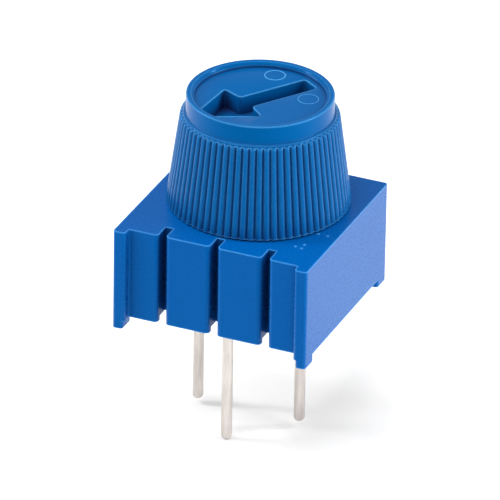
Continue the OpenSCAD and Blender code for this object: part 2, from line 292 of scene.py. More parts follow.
class Effect:
    """Shader node groups that more than one finish uses. Each is built once."""

    @staticmethod
    def _new(name: str, inputs: dict[str, float], outputs: Sequence[str]) -> ShaderNodeTree:
        """Starts a group with a Vector input, the given value inputs and value outputs.

        Args:
            name: The group's name.
            inputs: Each value input and its default.
            outputs: The names of the value outputs.

        Returns:
            The group's node tree.
        """
        tree = bpy.data.node_groups.new(name, "ShaderNodeTree")
        tree.interface.new_socket("Vector", in_out="INPUT", socket_type="NodeSocketVector")
        for key, value in inputs.items():
            socket = tree.interface.new_socket(key, in_out="INPUT", socket_type="NodeSocketFloat")
            socket.default_value = value
        for key in outputs:
            tree.interface.new_socket(key, in_out="OUTPUT", socket_type="NodeSocketFloat")
        return tree

    @classmethod
    @cache
    def grain(cls) -> ShaderNodeTree:
        """A fine moulded or cast grain over a broad mottle.

        Returns:
            A group that puts out Fine and Broad, each from 0 to 1.
        """
        tree = cls._new("moulded_grain", {"Fine Scale": 9000.0, "Broad Scale": 500.0}, ("Fine", "Broad"))
        nodes, links = tree.nodes, tree.links
        given = nodes.new("NodeGroupInput")
        result = nodes.new("NodeGroupOutput")
        for scale, out, detail in (("Fine Scale", "Fine", 3.0), ("Broad Scale", "Broad", 4.0)):
            noise = nodes.new("ShaderNodeTexNoise")
            noise.inputs["Detail"].default_value = detail
            noise.inputs["Roughness"].default_value = 0.6
            links.new(given.outputs["Vector"], noise.inputs["Vector"])
            links.new(given.outputs[scale], noise.inputs["Scale"])
            links.new(noise.outputs["Fac"], result.inputs[out])
        return tree

    @staticmethod
    def _nearness(tree: ShaderNodeTree, reach: NodeSocket, inside: bool, full: float) -> NodeSocket:
        """Adds a mask of how close a piece's own surfaces stand.

        Args:
            tree: The group's node tree.
            reach: The output that gives how far to look.
            inside: Whether to look into the piece, which finds edges, or out of it, which finds hollows.
            full: The share of free directions at which the mask is full.

        Returns:
            The output that holds the mask.
        """
        free = 0.92
        near = tree.nodes.new("ShaderNodeAmbientOcclusion")
        near.inside = inside
        near.only_local = True
        near.samples = 6
        tree.links.new(reach, near.inputs["Distance"])
        span = tree.nodes.new("ShaderNodeMapRange")
        span.clamp = True
        span.inputs["From Min"].default_value = free
        span.inputs["From Max"].default_value = full
        tree.links.new(near.outputs["AO"], span.inputs["Value"])
        return span.outputs["Result"]

    @classmethod
    @cache
    def painted_light_masks(cls) -> ShaderNodeTree:
        """Masks for the painted highlight along the outer edges, broken up by noise, and for the painted
        shade in the hollows.

        Returns:
            A group that puts out Edge and Cavity, each from 0 to 1.
        """
        inputs = {"Edge Reach": 7e-5, "Cavity Reach": 4e-4, "Breakup": 0.4}
        tree = cls._new("painted_light_masks", inputs, ("Edge", "Cavity"))
        nodes, links = tree.nodes, tree.links
        given = nodes.new("NodeGroupInput")
        result = nodes.new("NodeGroupOutput")
        # Painted shade: how closed in the hollows are
        links.new(cls._nearness(tree, given.outputs["Cavity Reach"], False, 0.17), result.inputs["Cavity"])
        # Painted highlight: the outer edges, broken up by noise
        noise = nodes.new("ShaderNodeTexNoise")
        noise.inputs["Scale"].default_value = 2500.0
        links.new(given.outputs["Vector"], noise.inputs["Vector"])
        broken = nodes.new("ShaderNodeMath")
        broken.operation = "MULTIPLY_ADD"
        links.new(noise.outputs["Fac"], broken.inputs[0])
        links.new(given.outputs["Breakup"], broken.inputs[1])
        broken.inputs[2].default_value = 0.75
        mask = nodes.new("ShaderNodeMath")
        mask.operation = "MULTIPLY"
        links.new(cls._nearness(tree, given.outputs["Edge Reach"], True, 0.695), mask.inputs[0])
        links.new(broken.outputs[0], mask.inputs[1])
        links.new(mask.outputs[0], result.inputs["Edge"])
        return tree


@dataclass(frozen=True)
class Finish:
    """A surface finish: a base colour with a grain, a mottle, a painted highlight along the edges, painted
    shade in the hollows and a fine bump.

    Attributes:
        name: The material's name.
        base: The main colour, linear.
        mottle: The colour that the broad mottle drifts to.
        rough: The roughness in the middle of its range.
        rough_span: How far the grain moves the roughness.
        metal: How metallic the surface is.
        bump: The depth of the grain, in metres.
        fine: The grain's scale.
        broad: The mottle's scale.
        stretch: How the pattern is scaled along X, Y and Z.
        edge: The colour of the painted highlight laid along the outer edges.
        edge_highlight_amount: How much of the painted highlight shows.
        hollow_shade: The colour of the painted shade laid in the hollows.
        hollow_shade_amount: How much of the painted shade shows.
        hollow_shade_reach: How far apart the sides of a hollow may be for the painted shade, in metres.
        specular: The specular level.
        tint: The colour of its reflections seen head on.
    """

    name: str
    base: RGB
    mottle: RGB
    rough: float
    rough_span: float = 0.1
    metal: float = 0.0
    bump: float = 2e-6
    fine: float = 9000.0
    broad: float = 500.0
    stretch: RGB = (1.0, 1.0, 1.0)
    edge: RGB = (1.0, 1.0, 1.0)
    edge_highlight_amount: float = 0.0
    hollow_shade: RGB = (0.0, 0.0, 0.0)
    hollow_shade_amount: float = 0.0
    hollow_shade_reach: float = 4e-4
    specular: float = 0.5
    tint: RGB = (1.0, 1.0, 1.0)

    def material(self) -> Material:
        """Builds the material.

        Returns:
            A procedural material on object coordinates.
        """
        made = bpy.data.materials.new(self.name)
        made.use_nodes = True
        tree = made.node_tree
        nodes, links = tree.nodes, tree.links
        shader = nodes["Principled BSDF"]
        shader.inputs["Metallic"].default_value = self.metal
        shader.inputs["Specular IOR Level"].default_value = self.specular
        shader.inputs["Specular Tint"].default_value = (*self.tint, 1)
        place = nodes.new("ShaderNodeTexCoord")
        mapping = nodes.new("ShaderNodeMapping")
        mapping.inputs["Scale"].default_value = self.stretch
        links.new(place.outputs["Object"], mapping.inputs["Vector"])
        grain = nodes.new("ShaderNodeGroup")
        grain.node_tree = Effect.grain()
        grain.inputs["Fine Scale"].default_value = self.fine
        grain.inputs["Broad Scale"].default_value = self.broad
        links.new(mapping.outputs["Vector"], grain.inputs["Vector"])
        colour = self._mixed(tree, grain.outputs["Broad"], self.base, self.mottle)
        # Painted shade in the hollows and a painted highlight on the edges go into the colour
        if self.edge_highlight_amount or self.hollow_shade_amount:
            colour = self._paint_shade_and_highlight(tree, mapping.outputs["Vector"], colour)
        links.new(colour, shader.inputs["Base Color"])
        rough = nodes.new("ShaderNodeMapRange")
        rough.inputs["To Min"].default_value = self.rough - self.rough_span
        rough.inputs["To Max"].default_value = self.rough + self.rough_span
        links.new(grain.outputs["Fine"], rough.inputs["Value"])
        links.new(rough.outputs["Result"], shader.inputs["Roughness"])
        bump = nodes.new("ShaderNodeBump")
        bump.inputs["Strength"].default_value = 1.0
        bump.inputs["Distance"].default_value = self.bump
        links.new(grain.outputs["Fine"], bump.inputs["Height"])
        links.new(bump.outputs["Normal"], shader.inputs["Normal"])
        return made

    @staticmethod
    def _mixed(tree: ShaderNodeTree, amount: NodeSocket, first: RGB | NodeSocket, second: RGB) -> NodeSocket:
        """Adds a mix of two colours.

        Args:
            tree: The material's node tree.
            amount: The output that gives the share of the second colour.
            first: The first colour, or the output that gives it.
            second: The second colour.

        Returns:
            The output that holds the mixed colour.
        """
        mix = tree.nodes.new("ShaderNodeMix")
        mix.data_type = "RGBA"
        mix.inputs["B"].default_value = (*second, 1)
        tree.links.new(amount, mix.inputs["Factor"])
        if isinstance(first, tuple):
            mix.inputs["A"].default_value = (*first, 1)
        else:
            tree.links.new(first, mix.inputs["A"])
        return mix.outputs["Result"]

    def _paint_shade_and_highlight(self, tree: ShaderNodeTree, vector: NodeSocket, colour: NodeSocket) -> NodeSocket:
        """Lays painted shade into the hollows of a colour and a painted highlight along its edges.

        Args:
            tree: The material's node tree.
            vector: The output that gives the coordinates.
            colour: The output that gives the colour.

        Returns:
            The output that holds the changed colour.
        """
        painted_light_masks = tree.nodes.new("ShaderNodeGroup")
        painted_light_masks.node_tree = Effect.painted_light_masks()
        painted_light_masks.inputs["Cavity Reach"].default_value = self.hollow_shade_reach
        tree.links.new(vector, painted_light_masks.inputs["Vector"])
        # Painted shade first, then the painted highlight
        layers = (("Cavity", self.hollow_shade_amount, self.hollow_shade), ("Edge", self.edge_highlight_amount, self.edge))
        for mask, share, shade in layers:
            amount = tree.nodes.new("ShaderNodeMath")
            amount.operation = "MULTIPLY"
            amount.inputs[1].default_value = share
            tree.links.new(painted_light_masks.outputs[mask], amount.inputs[0])
            colour = self._mixed(tree, amount.outputs[0], colour, shade)
        return colour


# The blue plastics lay a painted highlight along their outer edges and painted shade into their hollows; the
# other finishes have neither
BLUE_PLASTIC = Finish("blue_moulded_plastic", (0.0, 0.078, 0.305), (0.0, 0.087, 0.325), 0.28, 0.05,
                      bump=5e-7, edge=(0.10, 0.42, 0.88), edge_highlight_amount=0.5,
                      hollow_shade=(0.004, 0.014, 0.095), hollow_shade_amount=0.8, hollow_shade_reach=6e-4,
                      specular=0.25, tint=(0.02, 0.40, 1.0))
KNOB_PLASTIC = Finish("knob_moulded_plastic", (0.0, 0.078, 0.26), (0.0, 0.090, 0.29), 0.2, 0.05,
                      bump=8e-7, edge=(0.14, 0.52, 0.95), edge_highlight_amount=0.8,
                      hollow_shade=(0.012, 0.006, 0.05), hollow_shade_amount=1.0, hollow_shade_reach=7e-4,
                      specular=0.17, tint=(0.02, 0.40, 1.0))
TINNED_LEAD = Finish("tinned_lead", (0.80, 0.745, 0.70), (0.36, 0.32, 0.30), 0.32, 0.14,
                     metal=0.9, bump=3e-6, fine=6000.0, broad=3500.0, stretch=(1, 1, 0.14))
EPOXY = Finish("cast_epoxy", (0.52, 0.49, 0.40), (0.60, 0.57, 0.49), 0.38, 0.1, bump=4e-6, fine=3000.0)
CERAMIC = Finish("fired_ceramic", (0.86, 0.85, 0.81), (0.80, 0.79, 0.75), 0.55, 0.08, bump=2e-6)
RESISTIVE_FILM = Finish("resistive_film", (0.035, 0.03, 0.028), (0.06, 0.05, 0.045), 0.5, 0.12, bump=2e-6)
CONDUCTOR_FILM = Finish("silver_film", (0.72, 0.70, 0.66), (0.60, 0.58, 0.54), 0.4, 0.1, metal=1.0)
SOLDER = Finish("solder", (0.70, 0.70, 0.72), (0.62, 0.62, 0.64), 0.3, 0.08, metal=1.0)
ROTOR_PLASTIC = Finish("rotor_plastic", (0.78, 0.74, 0.62), (0.72, 0.68, 0.57), 0.45, 0.08)
SEAL_RUBBER = Finish("seal_rubber", (0.02, 0.02, 0.02), (0.03, 0.03, 0.03), 0.5, 0.1)
CONTACT_METAL = Finish("contact_metal", (0.78, 0.62, 0.34), (0.70, 0.54, 0.28), 0.3, 0.08, metal=1.0)
PALE_PAPER = Finish("pale_paper", (0.92, 0.92, 0.92), (0.93, 0.93, 0.93), 0.8, 0.05, bump=1e-6,
                    fine=800.0, broad=40.0, specular=0.2)


def one_sided(material: Material) -> Material:
    """Makes a material clear from behind.

    Args:
        material: The material to change.

    Returns:
        The same material.
    """
    nodes, links = material.node_tree.nodes, material.node_tree.links
    side = nodes.new("ShaderNodeNewGeometry")
    clear = nodes.new("ShaderNodeBsdfTransparent")
    choice = nodes.new("ShaderNodeMixShader")
    links.new(side.outputs["Backfacing"], choice.inputs[0])
    links.new(nodes["Principled BSDF"].outputs[0], choice.inputs[1])
    links.new(clear.outputs[0], choice.inputs[2])
    links.new(choice.outputs[0], nodes["Material Output"].inputs["Surface"])
    return material


def dress(piece: Object, finish: Material) -> None:
    """Gives a piece one material in place of any it has."""
    piece.data.materials.clear()
    piece.data.materials.append(finish)


# ----- The housing -----


@dataclass
class Housing:
    """The square moulding with slots in its front, pillars at its front corners and feet below.

    The sizes are in metres, and match the frame's housing, whose box gives the rest.

    Attributes:
        pitch: Spacing of the slots.
        slot_w: Width of a slot.
        slot_depth: Depth of a slot from the blocks' face.
        slot_r: Radius of the blocks' upright edges.
        slot_flats: How many flats make each of those.
        step_r: Radius of the corner between a block and a pillar.
        step_flats: How many flats make it.
        pillar_w: Width of a pillar.
        proud: How far the pillars stand in front of the blocks.
        corner_r: Radius of the upright outer corners.
        foot_h: Height of the feet.
        foot_w: Width of a foot.
        foot_l: Length of a foot.
        side_wall: Thickness of the side and back walls.
        top_wall: Thickness of the top.
        inner_front: Distance from the front of the pillars to the inside.
        lift: Height of the blocks' lower edge above the rim.
        lip_t: Thickness of the lip along that edge.
        lip_step: Height of the step behind the lip.
        bore_r: Radius of the bearing in the top.
        bore_flats: How many flats make the bearing.
        axis_back: How far the bearing is set back from the middle.
        edge_r: Radius of the moulding's small edges.
        past: How far the cutters reach out of the moulding.
        pip_r: Radius of the pips on the top.
        pip_sunk: How far their middles lie below it.
        pips: Their places in plan, in millimetres.
    """

    pitch: float = 2.54 * MM
    slot_w: float = 0.38 * MM
    slot_depth: float = 0.9 * MM
    slot_r: float = 0.2 * MM
    slot_flats: int = 7
    step_r: float = 0.1 * MM
    step_flats: int = 4
    pillar_w: float = 0.61 * MM
    proud: float = 0.45 * MM
    corner_r: float = 0.15 * MM
    foot_h: float = 0.38 * MM
    foot_w: float = 0.5 * MM
    foot_l: float = 1.0 * MM
    side_wall: float = 0.7 * MM
    top_wall: float = 0.8 * MM
    inner_front: float = 1.7 * MM
    lift: float = 0.08 * MM
    lip_t: float = 0.33 * MM
    lip_step: float = 0.22 * MM
    bore_r: float = 1.2 * MM
    bore_flats: int = 96
    axis_back: float = 0.86 * MM
    edge_r: float = 0.05 * MM
    past: float = 1 * MM
    pip_r: float = 0.05 * MM
    pip_sunk: float = 0.02 * MM
    pips: tuple[tuple[float, float], ...] = (
        (3.79, -1.11), (4.26, -1.14), (3.64, -2.71), (3.32, -2.65), (3.63, -2.34),
    )
    low: Vector = field(init=False)
    high: Vector = field(init=False)

    def __post_init__(self) -> None:
        """Reads the housing's box from the frame."""
        self.low, self.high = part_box("housing")

    def outline(self) -> list[Vector]:
        """The housing seen from above.

        Returns:
            The outline's corners, anticlockwise: its left half, then the same mirrored.
        """
        left, front, back = self.low.x, self.low.y, self.high.y
        face = front + self.proud
        pillar = left + self.pillar_w
        half = self.slot_w / 2
        r, step_r, slot_r = self.corner_r, self.step_r, self.slot_r
        points = arc(Vector((left + r, back - r)), r, 90, 180)
        points += arc(Vector((left + r, front + r)), r, 180, 270)
        points += arc(Vector((pillar - r, front + r)), r, 270, 360)
        points += arc(Vector((pillar + step_r, face - step_r)), step_r, 180, 90, self.step_flats)
        for x, side in ((-self.pitch - half, -1), (-self.pitch + half, 1), (-half, -1)):
            turn = 225 - 45 * side
            edge = arc(Vector((x + side * slot_r, face + slot_r)), slot_r, turn, turn + 90, self.slot_flats)
            floor = [Vector((x, face + self.slot_depth, 0))]
            points += edge + floor if side < 0 else floor + edge
        return points + [Vector((-p.x, p.y, 0)) for p in reversed(points)]

    def _feet(self) -> BMesh:
        """Makes the four feet.

        Returns:
            The feet's mesh.
        """
        bm = bmesh.new()
        top = self.low.z + self.foot_h + self.side_wall / 2
        for left in (self.low.x, self.high.x - self.foot_w):
            for front in (self.low.y, self.high.y - self.foot_l):
                corner = Vector((left + self.foot_w, front + self.foot_l))
                prism(bm, rounded_box(Vector((left, front)), corner, self.corner_r), self.low.z, top)
        return bm

    def _hollows(self) -> BMesh:
        """Makes what is taken out of the moulding: its inside, the steps under its blocks and its bearing.

        Returns:
            The cutters' mesh.
        """
        bm = bmesh.new()
        rim = self.low.z + self.foot_h
        front, back = self.low.y + self.inner_front, self.high.y - self.side_wall
        side = self.high.x - self.side_wall
        block(bm, Vector((-side, front, rim - self.past)), Vector((side, back, self.high.z - self.top_wall)))
        side = self.high.x - self.pillar_w
        step = rim + self.lift
        outside = self.low.y - self.past
        block(bm, Vector((-side, outside, rim - self.past)), Vector((side, front + LAP, step)))
        step += self.lip_step
        lip = self.low.y + self.proud + self.lip_t
        block(bm, Vector((-side, lip, rim - self.past / 2)), Vector((side, front + 2 * LAP, step)))
        place = Matrix.Translation((0, self.axis_back, self.high.z))
        bmesh.ops.create_cone(bm, cap_ends=True, segments=self.bore_flats, radius1=self.bore_r,
                              radius2=self.bore_r, depth=4 * self.top_wall, matrix=place)
        return bm

    def build(self) -> Object:
        """Models the housing.

        Returns:
            The housing's object.
        """
        bm = bmesh.new()
        prism(bm, self.outline(), self.low.z + self.foot_h, self.high.z)
        made = finished(bm, "housing_moulding")
        combined(made, self._hollows(), Join.CUT)
        combined(made, self._feet(), Join.ADD)
        self._round_edges(made)
        return made

    def _round_edges(self, made: Object) -> None:
        """Rounds the moulding's outer edges and adds the pips near the right front corner of its top.

        Args:
            made: The housing's object.
        """
        bm = bmesh.new()
        bm.from_mesh(made.data)
        bmesh.ops.remove_doubles(bm, verts=bm.verts, dist=SAME / 2)
        bmesh.ops.dissolve_limit(bm, angle_limit=math.radians(1), verts=bm.verts, edges=bm.edges)
        least = math.radians(40)
        sharp = [e for e in bm.edges if len(e.link_faces) == 2 and e.calc_face_angle_signed(0) > least]
        soften(bm, sharp, self.edge_r, clamp=True)
        hold_flat(bm, border=0.03 * MM)
        for x, y in self.pips:
            place = Matrix.Translation((x * MM, y * MM, self.high.z - self.pip_sunk))
            bmesh.ops.create_icosphere(bm, subdivisions=2, radius=self.pip_r, matrix=place)
        crease(bm)
        bm.to_mesh(made.data)
        bm.free()


# ----- The knob -----


@dataclass
class Knob:
    """The fluted finger knob, with a sunk arrow in its top.

    The sizes are in metres, and match the frame's knob, whose box gives its heights.

    Attributes:
        axis_back: How far its axis is set back from the middle of the housing.
        skirt_low: Radius of the flutes at the lower edge.
        skirt_high: Radius of the flutes at the shoulder.
        ring_r: Radius of the plain ring.
        ring_h: Height of the plain ring.
        recess_r: Radius of the recess in the top.
        recess_depth: Depth of that recess.
        flutes: Number of flutes.
        flute_depth: Depth of the grooves.
        wall: Thickness of the skirt.
        hub_r: Radius of the hub inside.
        hub_rise: Height of the hub's lower edge above the knob's.
        shaft_r: Radius of the socket for the shaft.
        flat: Distance from the axis to the socket's flat.
        plate_t: Thickness of the plate under the arrow.
        arrow_dir: Direction of the arrow, in degrees.
        arrow_depth: Depth of the arrow.
        shaft_w: Width of the arrow's shaft.
        head_w: Width of the arrow's head.
        barb: Distance from the axis to the barbs.
        sweep: How far the barbs lie ahead of the notches.
        arrow_r: Radius of the arrow's upright corners.
        half_angle: Half of the head's point angle, in degrees.
        tail_gap: Distance from the arrow's tail to the recess wall.
        flare: How far the plain ring spreads at its foot.
        flare_h: Height of that spread.
        rib_gap: Distance from the top of the ribs up to the shoulder.
        rib_tip: Height of the round that ends each rib.
        shoulder_r: Radius of the shoulder.
        lip_r: Radius of the ring's upper edge.
        slant: Width of the chamfer round the recess.
        soft: How far its two edges are rounded.
        web_t: Thickness of the webs.
        web_rise: Height of their lower edges above the knob's.
        edge_r: Radius of the small edges.
        mark_r: Radius of the ejector marks.
        marks: Their places along and across the arrow, and their heights, in millimetres.
    """

    axis_back: float = 0.86 * MM
    skirt_low: float = 4.235 * MM
    skirt_high: float = 3.63 * MM
    ring_r: float = 3.38 * MM
    ring_h: float = 0.89 * MM
    recess_r: float = 3.0 * MM
    recess_depth: float = 0.25 * MM
    flutes: int = 72
    flute_depth: float = 0.115 * MM
    wall: float = 0.6 * MM
    hub_r: float = 1.9 * MM
    hub_rise: float = 0.05 * MM
    shaft_r: float = 1.17 * MM
    flat: float = 0.82 * MM
    plate_t: float = 0.5 * MM
    arrow_dir: float = -124.5
    arrow_depth: float = 0.9 * MM
    shaft_w: float = 1.0 * MM
    head_w: float = 3.1 * MM
    barb: float = 0.94 * MM
    sweep: float = 0.24 * MM
    arrow_r: float = 0.18 * MM
    half_angle: float = 29.4
    tail_gap: float = 0.29 * MM
    flare: float = 0.012 * MM
    flare_h: float = 0.05 * MM
    rib_gap: float = 0.11 * MM
    rib_tip: float = 0.13 * MM
    shoulder_r: float = 0.11 * MM
    lip_r: float = 0.06 * MM
    slant: float = 0.14 * MM
    soft: float = 0.02 * MM
    web_t: float = 0.5 * MM
    web_rise: float = 1.5 * MM
    edge_r: float = 0.045 * MM
    mark_r: float = 0.47 * MM
    marks: tuple[tuple[float, float, float], ...] = ((-1.76, -1.55, 0.011), (-1.80, 1.21, 0.006))
    low: Vector = field(init=False)
    high: Vector = field(init=False)
    axis: Vector = field(init=False)
    floor_z: float = field(init=False)
    ceiling_z: float = field(init=False)
    shoulder_z: float = field(init=False)

    def __post_init__(self) -> None:
        """Reads the knob's box from the frame, and works out the heights inside it."""
        self.low, self.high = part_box("knob")
        self.axis = Vector((0, self.axis_back, 0))
        self.floor_z = self.high.z - self.recess_depth
        self.ceiling_z = self.floor_z - self.arrow_depth - self.plate_t
        self.shoulder_z = self.high.z - self.ring_h

    def _directions(self) -> list[float]:
        """The directions of the upright lines: the groove's middle and sides, then the rib's curve.

        Returns:
            The directions in radians, from the arrow's own direction.
        """
        shares = (0.0, 0.09, 0.17, 0.3, 0.5, 0.7, 0.83, 0.91)
        pitch = math.tau / self.flutes
        start = math.radians(self.arrow_dir)
        return [start + (i + s) * pitch for i in range(self.flutes) for s in shares]

    def _rib(self, direction: float) -> float:
        """The height of a rib at a direction, as a share of the flutes' depth.

        Args:
            direction: The direction in radians.

        Returns:
            0 in a groove and 1 on the top of a rib.
        """
        pitch = math.tau / self.flutes
        share = ((direction - math.radians(self.arrow_dir)) / pitch) % 1.0
        half = 0.42
        across = (share - 0.5) / half
        return math.sqrt(max(0.0, 1.0 - across * across))

    def _ring(self, radius: float, ribs: float = 0.0) -> Callable[[float], float]:
        """The radius rule of one ring, from its radius over the ribs and the depth of its grooves."""
        return lambda a: radius - ribs * (1.0 - self._rib(a))

    def _socket(self, direction: float) -> float:
        """The radius of the socket, with its flat, at a direction in radians."""
        facing = math.cos(direction - math.radians(self.arrow_dir))
        return min(self.shaft_r, self.flat / facing) if facing > 0.3 else self.shaft_r

    def _skirt(self, height: float) -> float:
        """The radius over the ribs at a height."""
        lean = (self.skirt_low - self.skirt_high) / (self.shoulder_z - self.low.z)
        return self.skirt_low - lean * (height - self.low.z)

    def _underside(self) -> list[Ring]:
        """Shapes the socket, the hub and the hollow round it.

        Returns:
            The rings, from inside to outside.
        """
        hub_z = self.low.z + self.hub_rise
        hub = self._ring(self.hub_r)
        high_wall = self._ring(self.skirt_high - self.wall)
        low_wall = self._ring(self.skirt_low - self.wall - self.flute_depth)
        return [(self._socket, self.ceiling_z), (self._socket, hub_z), (hub, hub_z), (hub, self.ceiling_z),
                (high_wall, self.ceiling_z), (low_wall, self.low.z)]

    def _fluted(self) -> list[Ring]:
        """Shapes the fluted skirt, whose ribs round over below the shoulder.

        Returns:
            The rings, from the lower edge up.
        """
        bottom, depth, r = self.low.z, self.flute_depth, self.edge_r
        steps, kept = 6, 0.98
        rise = (self.shoulder_z - bottom) / steps
        rings = [(self._ring(self.skirt_low - r, depth - r), bottom)]
        heights = [bottom + r, *(bottom + rise * i for i in range(1, steps))]
        rings += [(self._ring(self._skirt(z), depth), z) for z in heights]
        for inward, short in quarter():
            z = self.shoulder_z - self.rib_gap - self.rib_tip * short
            rest = kept * depth * (1 - inward)
            rings.append((self._ring(self._skirt(z) - (depth - rest), rest), z))
        return rings

    def _top(self) -> list[Ring]:
        """Shapes the shoulder, the plain ring and the chamfered recess.

        Returns:
            The rings, from the shoulder over the top to the recess floor.
        """
        core = self._skirt(self.shoulder_z) - self.flute_depth
        top, shoulder = self.high.z, self.shoulder_z
        rings = [(self._ring(core - self.shoulder_r * inward), shoulder - self.shoulder_r * short)
                 for inward, short in quarter()]
        rings.append((self._ring(self.ring_r + self.flare), shoulder + self.flare))
        rings.append((self._ring(self.ring_r), shoulder + self.flare_h))
        rings += [(self._ring(self.ring_r - self.lip_r * inward), top - self.lip_r * short)
                  for inward, short in quarter()]
        slant, soft = self.slant, self.soft
        recess = ((slant + soft, 0), (slant, soft / 3), (slant - soft, soft), (soft, slant - soft),
                  (0, slant + soft), (0, self.recess_depth))
        return rings + [(self._ring(self.recess_r + out), top - down) for out, down in recess]

    def _arrow(self) -> list[Vector]:
        """The arrow's corners inside the recess, in the knob's place, without its truncated point.

        Returns:
            The corners from the left barb, round the tail, to the right barb.
        """
        half = self.head_w / 2
        side = self.shaft_w / 2
        notch = self.barb - self.sweep * (1 - side / half)
        tail = -(self.recess_r - self.tail_gap)
        flat = [(self.barb, half), (notch, side), (tail, side)]
        flat += [(x, -y) for x, y in reversed(flat)]
        turn = Matrix.Rotation(math.radians(self.arrow_dir), 3, "Z")
        return [turn @ Vector((x, y, 0)) + self.axis for x, y in flat]

    def _point_share(self) -> float:
        """Finds where the head's side meets the recess wall.

        Returns:
            The angle from the arrow's direction, in radians.
        """
        angle = math.radians(self.half_angle)
        point = self.barb + self.head_w / 2 / math.tan(angle)
        return math.asin(point * math.sin(angle) / self.recess_r) - angle

    def build(self) -> Object:
        """Models the knob.

        Returns:
            The knob's object.
        """
        bm = bmesh.new()
        directions = self._directions()
        made = lathe(bm, directions, self._underside() + self._fluted() + self._top(), self.axis)
        # The recess floor is two faces that share the arrow's outline
        rim = made[-1]
        meet = self._point_share()
        start = math.radians(self.arrow_dir)
        left = min(range(len(rim)), key=lambda i: abs(directions[i] - start - meet))
        right = min(range(len(rim)), key=lambda i: abs(directions[i] - start - (math.tau - meet)))
        corners = [bm.verts.new((p.x, p.y, self.floor_z)) for p in self._arrow()]
        arrow = bm.faces.new([*corners, *rim[right:], *rim[: left + 1]])
        bm.faces.new([*rim[left: right + 1], *reversed(corners)])
        bm.faces.new(list(reversed(made[0])))
        bm.normal_update()
        sunk = bmesh.ops.extrude_face_region(bm, geom=[arrow])["geom"]
        bmesh.ops.delete(bm, geom=[arrow], context="FACES_ONLY")
        moved = [v for v in sunk if isinstance(v, BMVert)]
        bmesh.ops.translate(bm, verts=moved, vec=(0, 0, -self.arrow_depth))
        bmesh.ops.recalc_face_normals(bm, faces=bm.faces)
        self._soften_arrow(bm, corners)
        self._webs(bm)
        self._marks(bm)
        return finished(bm, "knob_moulding", sharp=40.0)

    def _marks(self, bm: BMesh) -> None:
        """Adds the thin raised rings that two ejector pins leave beside the arrow's shaft.

        Args:
            bm: The knob's mesh.
        """
        turn = Matrix.Rotation(math.radians(self.arrow_dir), 4, "Z")
        for x, y, height in self.marks:
            spot = turn @ Vector((x * MM, y * MM, 0)) + self.axis
            spot.z = self.floor_z
            place = Matrix.Translation(spot + Vector((self.mark_r, 0, 0)))
            place @= Matrix.Rotation(math.pi / 2, 4, "X")
            cord = bmesh.ops.create_circle(bm, segments=8, radius=height * MM, matrix=place)["verts"]
            edges = {e for v in cord for e in v.link_edges}
            bmesh.ops.spin(bm, geom=[*cord, *edges], cent=spot, axis=(0, 0, 1), angle=math.tau, steps=48,
                           use_merge=True)

    def _soften_arrow(self, bm: BMesh, corners: list[BMVert]) -> None:
        """Rounds the arrow's upright corners, then its upper edge.

        Args:
            bm: The knob's mesh.
            corners: The arrow's corners on the recess floor.
        """
        half = self.arrow_depth / 2
        upright = [e for v in corners for e in v.link_edges if abs(e.verts[0].co.z - e.verts[1].co.z) > half]
        soften(bm, upright, self.arrow_r, 5)
        level = [e for e in bm.edges if all(abs(v.co.z - self.floor_z) < SAME for v in e.verts)]
        below = self.floor_z - half / 2
        edges = [e for e in level if min(f.calc_center_median().z for f in e.link_faces) < below]
        soften(bm, edges, self.edge_r)

    def _webs(self, bm: BMesh) -> None:
        """Adds the webs between the hub and the skirt.

        Args:
            bm: The knob's mesh.
        """
        half = self.web_t / 2
        low = Vector((self.hub_r - LAP, -half, self.low.z + self.web_rise))
        high = Vector((self.skirt_high - self.wall + LAP, half, self.ceiling_z + LAP))
        for turn in (45, 135, 225, 315):
            spin = Matrix.Rotation(math.radians(self.arrow_dir + turn), 4, "Z")
            verts = block(bm, low, high)
            bmesh.ops.transform(bm, matrix=Matrix.Translation(self.axis) @ spin, verts=verts)


# ----- The terminals -----


@dataclass
class Lead:
    """A round terminal with a rounded end, a collar that the sealant holds and a head above the substrate.

    The sizes are in metres, and match the frame's terminal, whose box gives its place and length.

    Attributes:
        node: The frame's terminal.
        radius: Radius of the lead.
        collar_r: Radius of the collar.
        collar_low: Height of the collar's lower face.
        head: Length of the head above the substrate.
        substrate_t: Thickness of the substrate.
        chamfer: Width of the chamfer on the head.
        sides: Number of flats that the round is made of.
    """

    node: str
    radius: float = 0.255 * MM
    collar_r: float = 0.42 * MM
    collar_low: float = 0.55 * MM
    head: float = 0.3 * MM
    substrate_t: float = 0.6 * MM
    chamfer: float = 0.04 * MM
    sides: int = 40

    def build(self) -> Object:
        """Models the terminal.

        Returns:
            The terminal's object.
        """
        low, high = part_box(self.node)
        r, tip = self.radius, low.z
        collar_top = high.z - self.head - self.substrate_t
        turns = [math.radians(a) for a in (12, 30, 50, 70, 90)]
        stops = [(r * math.sin(a), tip + r * (1 - math.cos(a))) for a in turns]
        stops += [(r, tip + (self.collar_low - tip) * i / 6) for i in range(1, 7)]
        stops += [(self.collar_r, self.collar_low), (self.collar_r, collar_top), (r, collar_top)]
        stops += [(r, high.z - self.chamfer), (r - self.chamfer, high.z)]
        bm = bmesh.new()
        directions = [math.tau * i / self.sides for i in range(self.sides)]
        rings = lathe(bm, directions, [(lambda a, r=r: r, z) for r, z in stops], (low + high) / 2)
        bm.faces.new(list(reversed(rings[0])))
        bm.faces.new(rings[-1])
        bmesh.ops.recalc_face_normals(bm, faces=bm.faces)
        return finished(bm, f"{self.node}_lead", sharp=40.0)


# ----- The sealant -----


